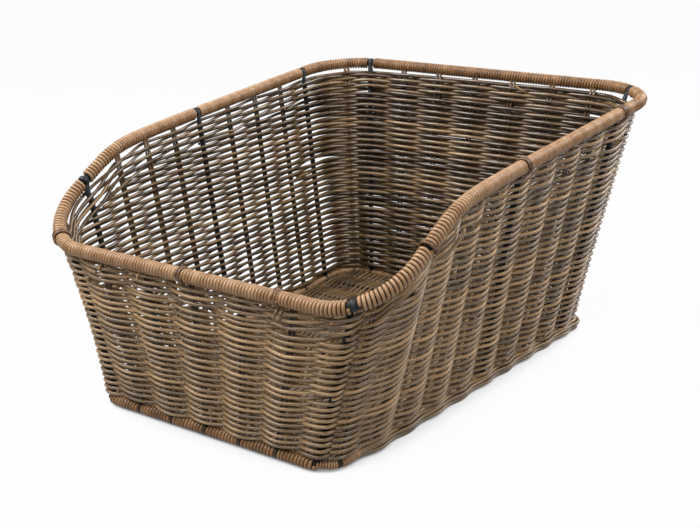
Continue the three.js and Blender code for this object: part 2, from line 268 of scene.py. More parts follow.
@dataclass
class Ring:
    """A rod's closed centreline: a trapezoid with round corners in plan, lifted by a height rule.

    Stations count round it from the middle of the front: 1 front right corner, 2 rear right corner,
    3 middle of the rear, 4 rear left corner, 5 front left corner, 6 the front again.
    """

    front_width: float
    rear_width: float
    front_y: float
    rear_y: float
    front_corner: float
    rear_corner: float
    height: Callable[[float], float]
    step: float = 0.002

    def __post_init__(self) -> None:
        """Walks the outline once and keeps its points, distances and station marks."""
        self.points: list[Vector] = []
        self.corner_points: list[int] = []
        self._walk()
        chords = [b.xy - a.xy for a, b in zip(self.points, self.points[1:] + self.points[:1])]
        self.distances = [0.0]
        for chord in chords:
            self.distances.append(self.distances[-1] + chord.length)
        self.length = self.distances[-1]
        corners = [self.distances[i] for i in self.corner_points]
        self.marks = [0.0, corners[0], corners[1], self.length / 2, corners[2], corners[3], self.length]

    def _walk(self) -> None:
        """Lays points along the sides and corners, anticlockwise from the middle of the front."""
        front = Vector((self.front_width / 2, self.front_y))
        rear = Vector((self.rear_width / 2, self.rear_y))
        mirrored = Vector((-1.0, 1.0))
        corners = [front, rear, rear * mirrored, front * mirrored]
        radii = [self.front_corner, self.rear_corner, self.rear_corner, self.front_corner]
        here = Vector((0.0, self.front_y))
        for i, corner in enumerate(corners):
            arriving = (corner - corners[i - 1]).normalized()
            leaving = (corners[(i + 1) % len(corners)] - corner).normalized()
            turn = arriving.angle(leaving)
            start = corner - arriving * radii[i] * math.tan(turn / 2)
            self._lay_line(here, start)
            centre = start + Vector((-arriving.y, arriving.x)) * radii[i]
            first = math.atan2(arriving.y, arriving.x) - math.pi / 2
            steps = 2 * math.ceil(radii[i] * turn / self.step / 2)
            self.corner_points.append(len(self.points) + steps // 2)
            for k in range(steps):
                angle = first + turn * k / steps
                self._lay(centre + Vector((math.cos(angle), math.sin(angle))) * radii[i])
            last = first + turn
            here = centre + Vector((math.cos(last), math.sin(last))) * radii[i]
        self._lay_line(here, Vector((0.0, self.front_y)))

    def _lay(self, plan: Vector) -> None:
        """Adds one point of the outline at its height."""
        self.points.append(Vector((plan.x, plan.y, self.height(plan.y))))

    def _lay_line(self, start: Vector, end: Vector) -> None:
        """Adds the points of a straight stretch.

        Args:
            start: The first point in plan.
            end: Where the stretch ends, which is left to the next one.
        """
        steps = math.ceil((end - start).length / self.step)
        for k in range(steps):
            self._lay(start.lerp(end, k / steps))

    def distance_at(self, station: float) -> float:
        """Finds a station along the ring.

        Args:
            station: The station, which may lie in a later round.

        Returns:
            Its plan distance from the middle of the front.
        """
        turns = math.floor(station / STATIONS)
        within = station - turns * STATIONS
        whole = min(int(within), STATIONS - 1)
        local = lerp(self.marks[whole], self.marks[whole + 1], within - whole)
        return local + turns * self.length

    def place_at(self, distance: float) -> Place:
        """Finds a place along the ring.

        Args:
            distance: The plan distance from the middle of the front.

        Returns:
            The point and the directions there.
        """
        along = distance % self.length
        count = len(self.points)
        i = min(bisect.bisect_right(self.distances, along) - 1, count - 1)
        share = (along - self.distances[i]) / (self.distances[i + 1] - self.distances[i])
        centre = self.points[i].lerp(self.points[(i + 1) % count], share)
        here = self.points[(i + 1) % count] - self.points[i - 1]
        ahead = self.points[(i + 2) % count] - self.points[i]
        tangent = here.lerp(ahead, share).normalized()
        inward = UP.cross(tangent).normalized()
        return Place(centre, tangent, inward, tangent.cross(inward))

    def place(self, station: float) -> Place:
        """Returns the point and directions at a station."""
        return self.place_at(self.distance_at(station))


@dataclass(frozen=True)
class WallLine:
    """The middle of the wall at one spot, from the base ring to just inside the rim.

    It is straight along the sides and bows into the basket at the corners.
    """

    foot: Place
    head: Place
    top: Vector
    weave_top: float
    hollow: float

    def at(self, z: float) -> Vector:
        """Returns the point of the line at a height."""
        share = self.share(z)
        return self.foot.centre.lerp(self.top, share) + self.level(z) * (bow(share) * self.hollow)

    def share(self, z: float) -> float:
        """Returns how far up the line a height lies."""
        return (z - self.foot.centre.z) / (self.top.z - self.foot.centre.z)

    def level(self, z: float) -> Vector:
        """Returns the level direction into the basket at a height."""
        return self.foot.inward.lerp(self.head.inward, min(1.0, max(0.0, self.share(z))))

    def inward(self, z: float) -> Vector:
        """Finds the way into the basket, square to the wall.

        Args:
            z: A height.

        Returns:
            The wall's inward normal there.
        """
        rise = (self.top - self.foot.centre).normalized()
        level = self.level(z)
        return (level - rise * level.dot(rise)).normalized()


class StakeKind(Enum):
    """What a stake is made of."""

    STEEL = "steel_stake"
    WICKER = "wicker_stake"


@dataclass(frozen=True)
class Spot:
    """Where an upright line of the wall meets the rim and the base ring, as stations."""

    rim: float
    base: float

    def towards(self, other: "Spot", share: float) -> "Spot":
        """Returns the spot that lies a share of the way to another one."""
        return Spot(lerp(self.rim, other.rim, share), lerp(self.base, other.base, share))


@dataclass(frozen=True)
class Stake:
    """One upright of the wall."""

    name: str
    spot: Spot
    kind: StakeKind
    bay: str

    @property
    def node(self) -> str:
        """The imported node's name."""
        return f"{self.kind.value}_{self.name}"


@dataclass(frozen=True)
class Bay:
    """A steel stake's name and spot, and the bay of wicker stakes after it."""

    steel: str
    spot: Spot
    name: str
    wickers: int


FRONT_BAY = "front"
BAYS = (
    Bay("front_right", Spot(0.92, 0.91), "front_corner_right", 1),
    Bay("side_front_right", Spot(1.113, 1.13), "side_front_right", 3),
    Bay("side_middle_right", Spot(1.421, 1.53), "side_rear_right", 3),
    Bay("side_rear_right", Spot(1.825, 1.9), "rear_corner_right", 1),
    Bay("rear_right", Spot(2.055, 2.04), "rear", 6),
    Bay("rear_left", Spot(3.8, 3.8), "rear_corner_left", 1),
    Bay("side_rear_left", Spot(4.13, 4.1), "side_rear_left", 3),
    Bay("side_middle_left", Spot(4.54, 4.54), "side_front_left", 3),
    Bay("side_front_left", Spot(4.887, 4.91), "front_corner_left", 1),
    Bay("front_left", Spot(5.077, 5.04), FRONT_BAY, 5),
)
# How many turns tie a steel stake's hook, where a tie covers it
TIED_HOOKS = {"front_left": 2, "side_front_right": 1, "side_middle_right": 2, "side_rear_right": 3}
# How light the rim's winding is in the bays that differ from the others: painted shade, darker round the
# right rear and the rear, where the rim falls in shade
RIM_PAINTED_SHADE_TONES = {"side_rear_right": 0.66, "rear_corner_right": 0.6, "rear": 0.5, "rear_corner_left": 0.5}


@dataclass
class BasketFrame:
    """The sizes that the pieces share: both rings, the wall between them and its stakes."""

    rim_length: float = 0.448
    rim_front_width: float = 0.324
    rim_rear_width: float = 0.364
    rim_front_corner: float = 0.051
    rim_rear_corner: float = 0.055
    rim_front_height: float = 0.134
    rim_rear_height: float = 0.2225
    knee_height: float = 0.1935
    knee_from_front: float = 0.094
    knee_ease: float = 0.006
    base_length: float = 0.387
    base_front_width: float = 0.226
    base_rear_width: float = 0.274
    base_front_corner: float = 0.020
    base_rear_corner: float = 0.026
    base_height: float = 0.0052
    front_overhang: float = 0.0155
    rim_rod: float = 0.006
    base_rod: float = 0.004
    steel_stake: float = 0.005
    wall_top_inset: float = 0.003
    corner_inset: float = 0.0022
    front_hollow: float = 0.0042
    rear_hollow: float = 0.0058
    rim_bound: float = 0.0056
    front_reveal: float = 0.0002
    side_reveal: float = 0.0
    rear_reveal: float = 0.0014

    def __post_init__(self) -> None:
        """Draws both rings and lists the stakes."""
        self.rear_y = self.rim_length / 2
        self.front_y = -self.rear_y
        self.knee_y = self.front_y + self.knee_from_front
        self.rim = Ring(
            self.rim_front_width, self.rim_rear_width, self.front_y, self.rear_y,
            self.rim_front_corner, self.rim_rear_corner, self.rim_height,
        )
        base_y = self.front_y + self.front_overhang
        self.base = Ring(
            self.base_front_width, self.base_rear_width, base_y, base_y + self.base_length,
            self.base_front_corner, self.base_rear_corner, lambda y: self.base_height,
        )
        self.stakes = self._list_stakes()

    def rim_height(self, y: float) -> float:
        """Works out the rim's climb, steep and then gentle, eased at the knee.

        Args:
            y: A place along the length.

        Returns:
            The height of the rim rod's centre there.
        """
        rise = self.knee_height - self.rim_front_height
        rear_rise = self.rim_rear_height - self.knee_height
        steep = self.knee_height + (y - self.knee_y) * rise / self.knee_from_front
        rear_run = self.rim_length - self.knee_from_front
        gentle = self.knee_height + (y - self.knee_y) * rear_rise / rear_run
        return (steep + gentle) / 2 - math.hypot((steep - gentle) / 2, self.knee_ease)

    def line(self, spot: Spot) -> WallLine:
        """Draws the wall's middle line.

        Args:
            spot: Where it meets the rings.

        Returns:
            The line, with the height where the weave stops below the bound rim.
        """
        foot = self.base.place(spot.base)
        head = self.rim.place(spot.rim)
        y = head.centre.y
        reveal = lerp(self.front_reveal, self.side_reveal, smoothstep(y, self.front_y, self.knee_y))
        reveal = lerp(reveal, self.rear_reveal, smoothstep(y, self.knee_y, self.rear_y))
        level = math.hypot(head.tangent.x, head.tangent.y)
        weave_top = head.centre.z - (self.rim_bound + reveal) / level
        turned = corner_share(head.inward)
        rearward = smoothstep(y, self.front_y, self.rear_y)
        hollow = lerp(self.front_hollow, self.rear_hollow, rearward) * turned
        inset = self.wall_top_inset + self.corner_inset * turned * rearward
        return WallLine(foot, head, head.centre + head.inward * inset, weave_top, hollow)

    def bay_end(self, number: int) -> Spot:
        """Finds where a bay ends.

        Args:
            number: The bay's place in the list.

        Returns:
            The next steel stake's spot, a whole round on where the stations start again.
        """
        if number + 1 < len(BAYS):
            return BAYS[number + 1].spot
        return Spot(BAYS[0].spot.rim + STATIONS, BAYS[0].spot.base + STATIONS)

    def _list_stakes(self) -> list[Stake]:
        """Lists every stake anticlockwise from the first steel one.

        Returns:
            The stakes, steel and wicker.
        """
        stakes: list[Stake] = []
        for number, bay in enumerate(BAYS):
            stakes.append(Stake(bay.steel, bay.spot, StakeKind.STEEL, bay.name))
            end = self.bay_end(number)
            for k in range(1, bay.wickers + 1):
                name = f"{bay.name}_{k}" if bay.wickers > 1 else bay.name
                spot = bay.spot.towards(end, k / (bay.wickers + 1))
                stakes.append(Stake(name, spot, StakeKind.WICKER, bay.name))
        return stakes

    def stakes_of(self, kind: StakeKind) -> list[Stake]:
        """Returns the stakes of one kind."""
        return [stake for stake in self.stakes if stake.kind is kind]


# Finishes

class NodeGraph:
    """A short way to place and join shader nodes."""

    def __init__(self, tree: bpy.types.NodeTree) -> None:
        """Takes the node tree to draw in."""
        self.tree = tree

    def add(self, kind: str, **settings: object) -> bpy.types.Node:
        """Adds a node.

        Args:
            kind: Its type.
            settings: Its properties.

        Returns:
            The node.
        """
        node = self.tree.nodes.new(kind)
        for key, value in settings.items():
            setattr(node, key, value)
        return node

    def join(self, source: Socket, target: Socket) -> None:
        """Links an output to an input."""
        self.tree.links.new(source, target)

    def attribute(self, name: str) -> Socket:
        """Returns a piece's own number as a socket."""
        return self.add("ShaderNodeAttribute", attribute_name=name).outputs["Fac"]

    def noise(self, vector: Socket, scale: float, detail: float) -> Socket:
        """Adds a noise pattern.

        Args:
            vector: Where it is read.
            scale: How fine it is.
            detail: How many finer layers it has.

        Returns:
            Its value.
        """
        node = self.add("ShaderNodeTexNoise")
        node.inputs["Scale"].default_value = scale
        node.inputs["Detail"].default_value = detail
        self.join(vector, node.inputs["Vector"])
        return node.outputs["Fac"]

    def ramp(self, value: Socket, stops: list[tuple[float, Colour]]) -> Socket:
        """Adds a colour ramp.

        Args:
            value: What it colours.
            stops: Its positions and colours.

        Returns:
            The colour.
        """
        node = self.add("ShaderNodeValToRGB")
        elements = node.color_ramp.elements
        while len(elements) < len(stops):
            elements.new(0.5)
        for element, (position, colour) in zip(elements, stops):
            element.position = position
            element.color = colour
        self.join(value, node.inputs["Fac"])
        return node.outputs["Color"]

    def spread(self, value: Socket, low: float, high: float) -> Socket:
        """Stretches a value.

        Args:
            value: A value from 0 to 1.
            low: What 0 becomes.
            high: What 1 becomes.

        Returns:
            The stretched value.
        """
        node = self.add("ShaderNodeMapRange")
        node.inputs["To Min"].default_value = low
        node.inputs["To Max"].default_value = high
        self.join(value, node.inputs["Value"])
        return node.outputs["Result"]

    def maths(self, operation: str, first: Socket, second: Socket | float) -> Socket:
        """Joins two values by a sum.

        Args:
            operation: Blender's name of the sum.
            first: The first value.
            second: The second value or a number.

        Returns:
            The result.
        """
        node = self.add("ShaderNodeMath", operation=operation)
        self.join(first, node.inputs[0])
        if isinstance(second, float):
            node.inputs[1].default_value = second
        else:
            self.join(second, node.inputs[1])
        return node.outputs["Value"]

    def bump(self, height: Socket, strength: float, distance: float) -> Socket:
        """Roughens the surface.

        Args:
            height: The fine height.
            strength: How much of it shows.
            distance: Its depth in metres.

        Returns:
            The bumped normal.
        """
        node = self.add("ShaderNodeBump")
        node.inputs["Strength"].default_value = strength
        node.inputs["Distance"].default_value = distance
        self.join(height, node.inputs["Height"])
        return node.outputs["Normal"]


def new_material(name: str) -> tuple[Material, NodeGraph, bpy.types.Node]:
    """Makes an empty material.

    Args:
        name: The material's name.

    Returns:
        The material, its graph and its shader.
    """
    material = bpy.data.materials.new(name)
    material.use_nodes = True
    return material, NodeGraph(material.node_tree), material.node_tree.nodes["Principled BSDF"]


@dataclass(frozen=True)
class CaneGrain:
    """The streaks along a strand, the broad patches and the fine fibre that every cane shares."""

    tone_step: float = 3.0
    streak_scale: float = 26.0
    streak_detail: float = 3.0
    streak_depth: float = 0.22
    patch_scale: float = 9.0
    patch_depth: float = 0.1
    fibre_scale: float = 900.0
    fibre_depth: float = 0.1
    soft_detail: float = 2.0

    def make(self) -> bpy.types.NodeTree:
        """Builds the grain as a node group.

        Returns:
            A group that turns a strand's length and tone into a shade, a gloss and a fine height.
        """
        group = bpy.data.node_groups.new("cane_grain", "ShaderNodeTree")
        for name in ("Along", "Tone"):
            group.interface.new_socket(name, in_out="INPUT", socket_type="NodeSocketFloat")
        for name in ("Shade", "Gloss", "Height"):
            group.interface.new_socket(name, in_out="OUTPUT", socket_type="NodeSocketFloat")
        graph = NodeGraph(group)
        inputs = graph.add("NodeGroupInput")
        outputs = graph.add("NodeGroupOutput")
        place = graph.add("ShaderNodeTexCoord").outputs["Object"]
        along = graph.add("ShaderNodeCombineXYZ")
        shade = inputs.outputs["Tone"]
        graph.join(inputs.outputs["Along"], along.inputs["X"])
        graph.join(graph.maths("MULTIPLY", shade, self.tone_step), along.inputs["Y"])
        streak = graph.noise(along.outputs["Vector"], self.streak_scale, self.streak_detail)
        patch = graph.noise(place, self.patch_scale, self.soft_detail)
        fibre = graph.noise(place, self.fibre_scale, self.soft_detail)
        depths = ((streak, self.streak_depth), (patch, self.patch_depth), (fibre, self.fibre_depth))
        for pattern, depth in depths:
            shade = graph.maths("ADD", shade, graph.spread(pattern, -depth, depth))
        graph.join(shade, outputs.inputs["Shade"])
        graph.join(fibre, outputs.inputs["Gloss"])
        graph.join(fibre, outputs.inputs["Height"])
        return group


@dataclass(frozen=True)
class CaneFinish:
    """A round synthetic cane, streaked along its length."""

    name: str
    dark: Colour
    grey: Colour
    warm: Colour
    light: Colour
    stops: tuple[float, ...] = (0.08, 0.36, 0.56, 0.95)
    rough_low: float = 0.2
    rough_high: float = 0.32
    grain_depth: float = 0.0001
    grain_strength: float = 0.35
    shine: float = 0.5

    def make(self, grain: bpy.types.NodeTree) -> Material:
        """Makes the finish.

        Args:
            grain: The grain's node group.

        Returns:
            The material.
        """
        material, graph, shader = new_material(self.name)
        group = graph.add("ShaderNodeGroup", node_tree=grain)
        graph.join(graph.attribute("along"), group.inputs["Along"])
        graph.join(graph.attribute("tone"), group.inputs["Tone"])
        stops = list(zip(self.stops, (self.dark, self.grey, self.warm, self.light)))
        graph.join(graph.ramp(group.outputs["Shade"], stops), shader.inputs["Base Color"])
        gloss = graph.spread(group.outputs["Gloss"], self.rough_low, self.rough_high)
        graph.join(gloss, shader.inputs["Roughness"])
        normal = graph.bump(group.outputs["Height"], self.grain_strength, self.grain_depth)
        graph.join(normal, shader.inputs["Normal"])
        shader.inputs["Specular IOR Level"].default_value = self.shine
        return material


@dataclass(frozen=True)
class SteelFinish:
    """A black painted rod with a soft sheen."""

    name: str = "black_paint"
    deep: Colour = (0.006, 0.007, 0.008, 1.0)
    worn: Colour = (0.014, 0.016, 0.018, 1.0)
    deep_stop: float = 0.35
    worn_stop: float = 0.75
    mottle_scale: float = 120.0
    mottle_detail: float = 3.0
    rough_low: float = 0.38
    rough_high: float = 0.58
    speck_scale: float = 700.0
    speck_detail: float = 2.0
    speck_strength: float = 0.2
    speck_depth: float = 0.0002
    shine: float = 0.25

    def make(self) -> Material:
        """Makes the finish.

        Returns:
            The material.
        """
        material, graph, shader = new_material(self.name)
        place = graph.add("ShaderNodeTexCoord").outputs["Object"]
        mottle = graph.noise(place, self.mottle_scale, self.mottle_detail)
        stops = [(self.deep_stop, self.deep), (self.worn_stop, self.worn)]
        graph.join(graph.ramp(mottle, stops), shader.inputs["Base Color"])
        graph.join(graph.spread(mottle, self.rough_low, self.rough_high), shader.inputs["Roughness"])
        speck = graph.noise(place, self.speck_scale, self.speck_detail)
        graph.join(graph.bump(speck, self.speck_strength, self.speck_depth), shader.inputs["Normal"])
        shader.inputs["Specular IOR Level"].default_value = self.shine
        return material


@dataclass
class Finishes:
    """The basket's four finishes."""

    weave: Coat
    stake: Coat
    binding: Coat
    steel: Coat

    @classmethod
    def mix(cls) -> "Finishes":
        """Makes all four.

        Returns:
            The finishes.
        """
        grain = CaneGrain().make()
        weave = CaneFinish(
            "streaked_cane",
            dark=(0.036, 0.018, 0.007, 1.0),
            grey=(0.118, 0.074, 0.036, 1.0),
            warm=(0.204, 0.122, 0.053, 1.0),
            light=(0.39, 0.247, 0.114, 1.0),
        )
        stake = CaneFinish(
            "stake_cane",
            dark=(0.014, 0.010, 0.007, 1.0),
            grey=(0.045, 0.031, 0.021, 1.0),
            warm=(0.090, 0.052, 0.027, 1.0),
            light=(0.20, 0.115, 0.055, 1.0),
        )
        binding = CaneFinish(
            "binding_cane",
            dark=(0.028, 0.014, 0.006, 1.0),
            grey=(0.115, 0.058, 0.025, 1.0),
            warm=(0.21, 0.109, 0.046, 1.0),
            light=(0.36, 0.228, 0.13, 1.0),
            rough_low=0.3,
            rough_high=0.42,
            shine=0.35,
        )
        return cls(
            Coat(weave.make(grain), Slot.WEAVE),
            Coat(stake.make(grain), Slot.STAKE),
            Coat(binding.make(grain), Slot.BINDING),
            Coat(SteelFinish().make(), Slot.STEEL),
        )


# The woven wall

@dataclass(frozen=True)
class Drift:
    """A tone's slow change along a strand: its size, its pace and the range of its seeds."""

    size: float
    pace: float
    seeds: float
    seed_steps: Spread = (7.31, 3.17)

    def at(self, seed: float, along: float) -> float:
        """Returns the change at a distance, about the size up or down at most."""
        across = [seed * step for step in self.seed_steps]
        return self.size * noise.noise(Vector((along * self.pace, *across)))


@dataclass(frozen=True)
class BySide:
    """A size that differs from side to side of the basket and blends round its corners."""

    front: float
    right: float
    rear: float
    left: float

    def at(self, inward: Vector) -> float:
        """Blends the sides' sizes.

        Args:
            inward: The level direction into the basket at a spot of the wall.

        Returns:
            The size there.
        """
        ahead = ((inward.y, self.front), (-inward.x, self.right))
        behind = ((-inward.y, self.rear), (inward.x, self.left))
        return sum(max(0.0, share) ** 2 * size for share, size in ahead + behind)


@dataclass(frozen=True)
class Pass:
    """A row's place at one stake: how high it lies and how far inward."""

    stake: int
    height: float
    shift: float


@dataclass(frozen=True)
class Gap:
    """A place at a stake where the rows have parted."""

    stake: str
    height: float
    size: float
    reach: float = 0.004

    def push(self, height: float) -> float:
        """Returns how far a row at a height is pushed away from the gap."""
        away = height - self.height
        return math.copysign(self.size * math.exp(-abs(away) / self.reach), away)


@dataclass
class WovenWall:
    """Plain weave: a strand passes over one stake and under the next, round after round.

    The lower rows run round the whole basket and lie wider apart towards the rear, where the rim is
    higher. Shorter rows fill that part and end where they meet a band of rows that follows the rim, and
    a few rows wrap the base ring on the sides and rear. The count of stakes is odd, so each round passes
    a stake on the other side from the round below.
    """

    frame: BasketFrame
    radius: BySide = BySide(0.0013, 0.00133, 0.00164, 0.0014)
    rear_swell: BySide = BySide(0.0, 0.00018, 0.00022, 0.0004)
    corner_swell: float = 0.0002
    low_swell: BySide = BySide(0.0, 0.0, 0.0003, 0.0)
    low_swell_end: float = 0.1
    shift: BySide = BySide(0.0050, 0.0051, 0.0034, 0.0047)
    shift_spread: Spread = (0.92, 1.06)
    steel_shift: float = 0.0044
    corner_ease: float = 0.34
    # Painted light and shade: a tone offset for each side, lighter on the front and right walls and
    # darker on the rear and left ones, standing for how the light falls on them
    shade: BySide = BySide(0.05, 0.02, -0.24, -0.15)
    cane_tones: tuple[float, ...] = (0.32, 0.38, 0.42, 0.46, 0.5, 0.56, 0.62)
    cane_stakes: tuple[int, int] = (14, 60)
    drift: Drift = Drift(0.16, 0.4, 90.0)
    front_pitch: float = 0.00242
    rear_pitch: float = 0.00295
    first_row: float = 0.0116
    lower_rows: int = 21
    band_rows: int = 7
    steps: int = 10
    tuck: float = 0.3
    lift: float = 0.00045
    sway: float = 0.0011
    sway_per_stake: float = 0.45
    sway_per_row: float = 0.11
    sway_per_seed: float = 1.7
    gaps: tuple[Gap, ...] = (
        Gap("side_rear_left", 0.127, 0.0016),
        Gap("side_front_left_1", 0.111, 0.0012),
        Gap("rear_4", 0.158, 0.0007),
    )
    skirt_hug: float = 0.0032
    skirt_bulge: float = 0.0024
    skirt_under: float = 0.4
    skirt_angles: tuple[float, ...] = (52.0, 16.0, -20.0, -54.0)
    seed: int = 11

    def __post_init__(self) -> None:
        """Samples the wall between the stakes and counts the level rows at each stake."""
        spots = [stake.spot for stake in self.frame.stakes]
        self.count = len(spots)
        ends = spots[1:] + [self.frame.bay_end(len(BAYS) - 1)]
        self.lines: list[WallLine] = []
        for spot, end in zip(spots, ends):
            self.lines += [self.frame.line(spot.towards(end, k / self.steps)) for k in range(self.steps)]
        self.radii = [self.thickness(line.head) for line in self.lines]
        self.painted_shades = [self.shade.at(line.head.inward) for line in self.lines]
        self.pitches: list[float] = []
        self.tops: list[float] = []
        self.floors: list[float] = []
        self.level_rows: list[int] = []
        for line in self.lines[:: self.steps]:
            pitch = lerp(self.front_pitch, self.rear_pitch, self.climb(line))
            top = line.weave_top - self.radius.front
            floor = top - self.band_rows * pitch / math.hypot(line.head.tangent.x, line.head.tangent.y)
            self.pitches.append(pitch)
            self.tops.append(top)
            self.floors.append(floor)
            self.level_rows.append(int((floor - self.first_row) / pitch + 0.5) + 1)
        self.draw = random.Random(self.seed)

    def thickness(self, head: Place) -> float:
        """Works out how thick the strands are, thicker at the corners and towards the rear.

        Args:
            head: The place of the rim above them.

        Returns:
            Their radius.
        """
        rearward = smoothstep(head.centre.y, 0.0, self.frame.rim_length / 2)
        swell = self.rear_swell.at(head.inward) * rearward
        swell += self.corner_swell * corner_share(head.inward)
        return self.radius.at(head.inward) + swell

    def climb(self, line: WallLine) -> float:
        """Returns how far the rim has climbed at a line, from 0 at the front to 1 at the rear."""
        rise = self.frame.rim_rear_height - self.frame.rim_front_height
        return (line.head.centre.z - self.frame.rim_front_height) / rise

    def reach(self, number: int) -> float:
        """Works out how far a strand leaves the middle of the wall to pass a stake.

        Args:
            number: The stake's place in the list.

        Returns:
            The distance.
        """
        stake = self.frame.stakes[number]
        if stake.kind is StakeKind.STEEL:
            return self.steel_shift
        reach = self.shift.at(self.lines[number * self.steps].head.inward)
        return reach * self.corner_ease if "corner" in stake.bay else reach

    def lay(self, row: int, stake: int, height: float) -> Pass:
        """Lays a row past a stake, inside or outside by turns and a little uneven.

        Args:
            row: The row's number.
            stake: The stake's place in the list.
            height: The row's even height there.

        Returns:
            The pass.
        """
        reach = self.reach(stake) * self.draw.uniform(*self.shift_spread)
        slow = (stake * self.sway_per_stake, row * self.sway_per_row, self.seed * self.sway_per_seed)
        rise = noise.noise(Vector(slow)) * self.sway + self.draw.uniform(-1.0, 1.0) * self.lift
        name = self.frame.stakes[stake].name
        rise += sum(gap.push(height) for gap in self.gaps if gap.stake == name)
        return Pass(stake, height + rise, reach if (stake + row) % 2 == 0 else -reach)

    def tones(self, count: int) -> list[float]:
        """Draws a strand's tones, with a new length of cane now and then.

        Args:
            count: How many points the strand has.

        Returns:
            The tone at each point.
        """
        tones: list[float] = []
        while len(tones) < count:
            base = self.draw.choice(self.cane_tones)
            seed = self.draw.random() * self.drift.seeds
            length = self.draw.randint(*self.cane_stakes) * self.steps
            tones += [base + self.drift.at(seed, k / self.steps) for k in range(length)]
        return tones[:count]

    def weave(self, passes: list[Pass], start: float = 0.0, end: float = 1.0) -> Strand:
        """Runs a strand smoothly through its passes.

        Args:
            passes: The places at the stakes, in order.
            start: Where in the space between the first two stakes the strand begins.
            end: Where in the space between the last two stakes it stops.

        Returns:
            The woven strand.
        """
        points: list[Vector] = []
        places: list[int] = []
        radii: list[float] = []
        last = len(passes) - 2
        for number, (here, after) in enumerate(zip(passes, passes[1:])):
            low = start if number == 0 else 0.0
            high = end if number == last else 1.0
            count = self.steps + 1 if number == last else self.steps
            for k in range(count):
                share = k / self.steps
                if low <= share <= high:
                    place = (here.stake * self.steps + k) % len(self.lines)
                    line = self.lines[place]
                    z = lerp(here.height, after.height, share)
                    shift = lerp(here.shift, after.shift, ease(share))
                    points.append(line.at(z) + line.inward(z) * shift)
                    places.append(place)
                    depth = 1.0 - smoothstep(z, 0.0, self.low_swell_end)
                    radii.append(self.radii[place] + self.low_swell.at(line.head.inward) * depth)
        # each point's tone takes the painted light and shade of its side
        tones = [tone + self.painted_shades[place] for tone, place in zip(self.tones(len(points)), places)]
        return Strand(points, radii, tones)

    def rounds(self, rows: range, height: Callable[[int, int], float]) -> Strand:
        """Weaves whole rows as one climbing strand.

        Args:
            rows: The rows' numbers.
            height: Gives a row's height at a stake.

        Returns:
            The woven strand.
        """
        return self.weave([self.lay(row, i, height(row, i)) for row in rows for i in range(self.count)])

    def level_height(self, row: int, stake: int) -> float:
        """Returns the height of a level row at a stake."""
        return self.first_row + row * self.pitches[stake]

    def band_height(self, row: int, stake: int) -> float:
        """Returns the height of a row of the band, which shares the room that the level rows leave."""
        level = self.level_height(self.level_rows[stake] - 1, stake)
        return lerp(level, self.tops[stake], (row + 1) / self.band_rows)

    def meeting(self, row: int, low: int, full: int) -> float:
        """Finds where a level row meets the band that follows the rim.

        Args:
            row: The row's number.
            low: The stake where the band already lies below the row.
            full: Its neighbour, where the row still fits.

        Returns:
            How far from the low stake to the full one the row ends.
        """
        over = self.level_height(row, low) - self.floors[low]
        under = self.floors[full] - self.level_height(row, full)
        return min(1.0, max(0.0, over / (over + under) - self.tuck))

    def short_row(self, row: int) -> Strand:
        """Weaves one row of the higher part, which ends at both sides where it meets the band.

        Args:
            row: The row's number.

        Returns:
            The woven strand.
        """
        full = [i for i in range(self.count) if self.level_rows[i] > row]
        first = max(1, full[0])
        last = min(self.count - 2, full[-1])
        passes = [self.lay(row, i, self.level_height(row, i)) for i in range(first - 1, last + 2)]
        start = self.meeting(row, first - 1, first)
        end = 1.0 - self.meeting(row, last + 1, last)
        return self.weave(passes, start, end)

    def skirt_row(self, row: int) -> Strand:
        """Weaves one row round the base ring's outside, from one front corner to the other.

        Args:
            row: The row's number, from the top.

        Returns:
            The woven strand, whose ends come out of the ring.
        """
        angle = math.radians(self.skirt_angles[row])
        inside = [i for i, stake in enumerate(self.frame.stakes) if stake.bay != FRONT_BAY]
        first = inside[1] * self.steps
        last = inside[-1] * self.steps
        points = []
        for m in range(first, last + 1):
            nearest = (m + self.steps // 2) // self.steps
            over = 1.0 if (nearest + row) % 2 == 0 else self.skirt_under
            near = math.cos(math.pi * m / self.steps) ** 2
            foot = self.lines[m].foot
            fade = smoothstep(min(m - first, last - m), 0.0, self.steps)
            out = (self.skirt_hug + self.radii[m]) * fade
            sideways = out * math.cos(angle) + self.skirt_bulge * near * over * fade
            points.append(foot.centre - foot.inward * sideways + UP * out * math.sin(angle))
        return Strand(points, self.radii[first:last + 1], self.tones(len(points)))

    def build(self, finishes: Finishes) -> None:
        """Weaves every row and makes the wall's pieces.

        Args:
            finishes: The basket's finishes.
        """
        full = min(self.level_rows)
        lower = [self.rounds(range(self.lower_rows), self.level_height)]
        upper = [self.rounds(range(self.lower_rows, full), self.level_height)]
        short = [self.short_row(row) for row in range(full, max(self.level_rows))]
        skirt = [self.skirt_row(row) for row in range(len(self.skirt_angles))]
        band = [self.rounds(range(self.band_rows), self.band_height)]
        make_tubes("wall_rows_lower", lower, Roundness.EIGHT, finishes.weave, ("woven_wall",))
        for name, rows in (("upper", upper), ("short", short), ("rim", band), ("skirt", skirt)):
            make_tubes(f"wall_rows_{name}", rows, Roundness.EIGHT, finishes.weave)


@dataclass(frozen=True)
class LooseEnd:
    """A strand's end that has worked free: where it leaves the wall, where it ends and how it curls."""

    start: float
    end: float
    start_height: float
    end_height: float
    inward: float
    curl: float
    radius: float = 0.0011
    tone: float = 0.5


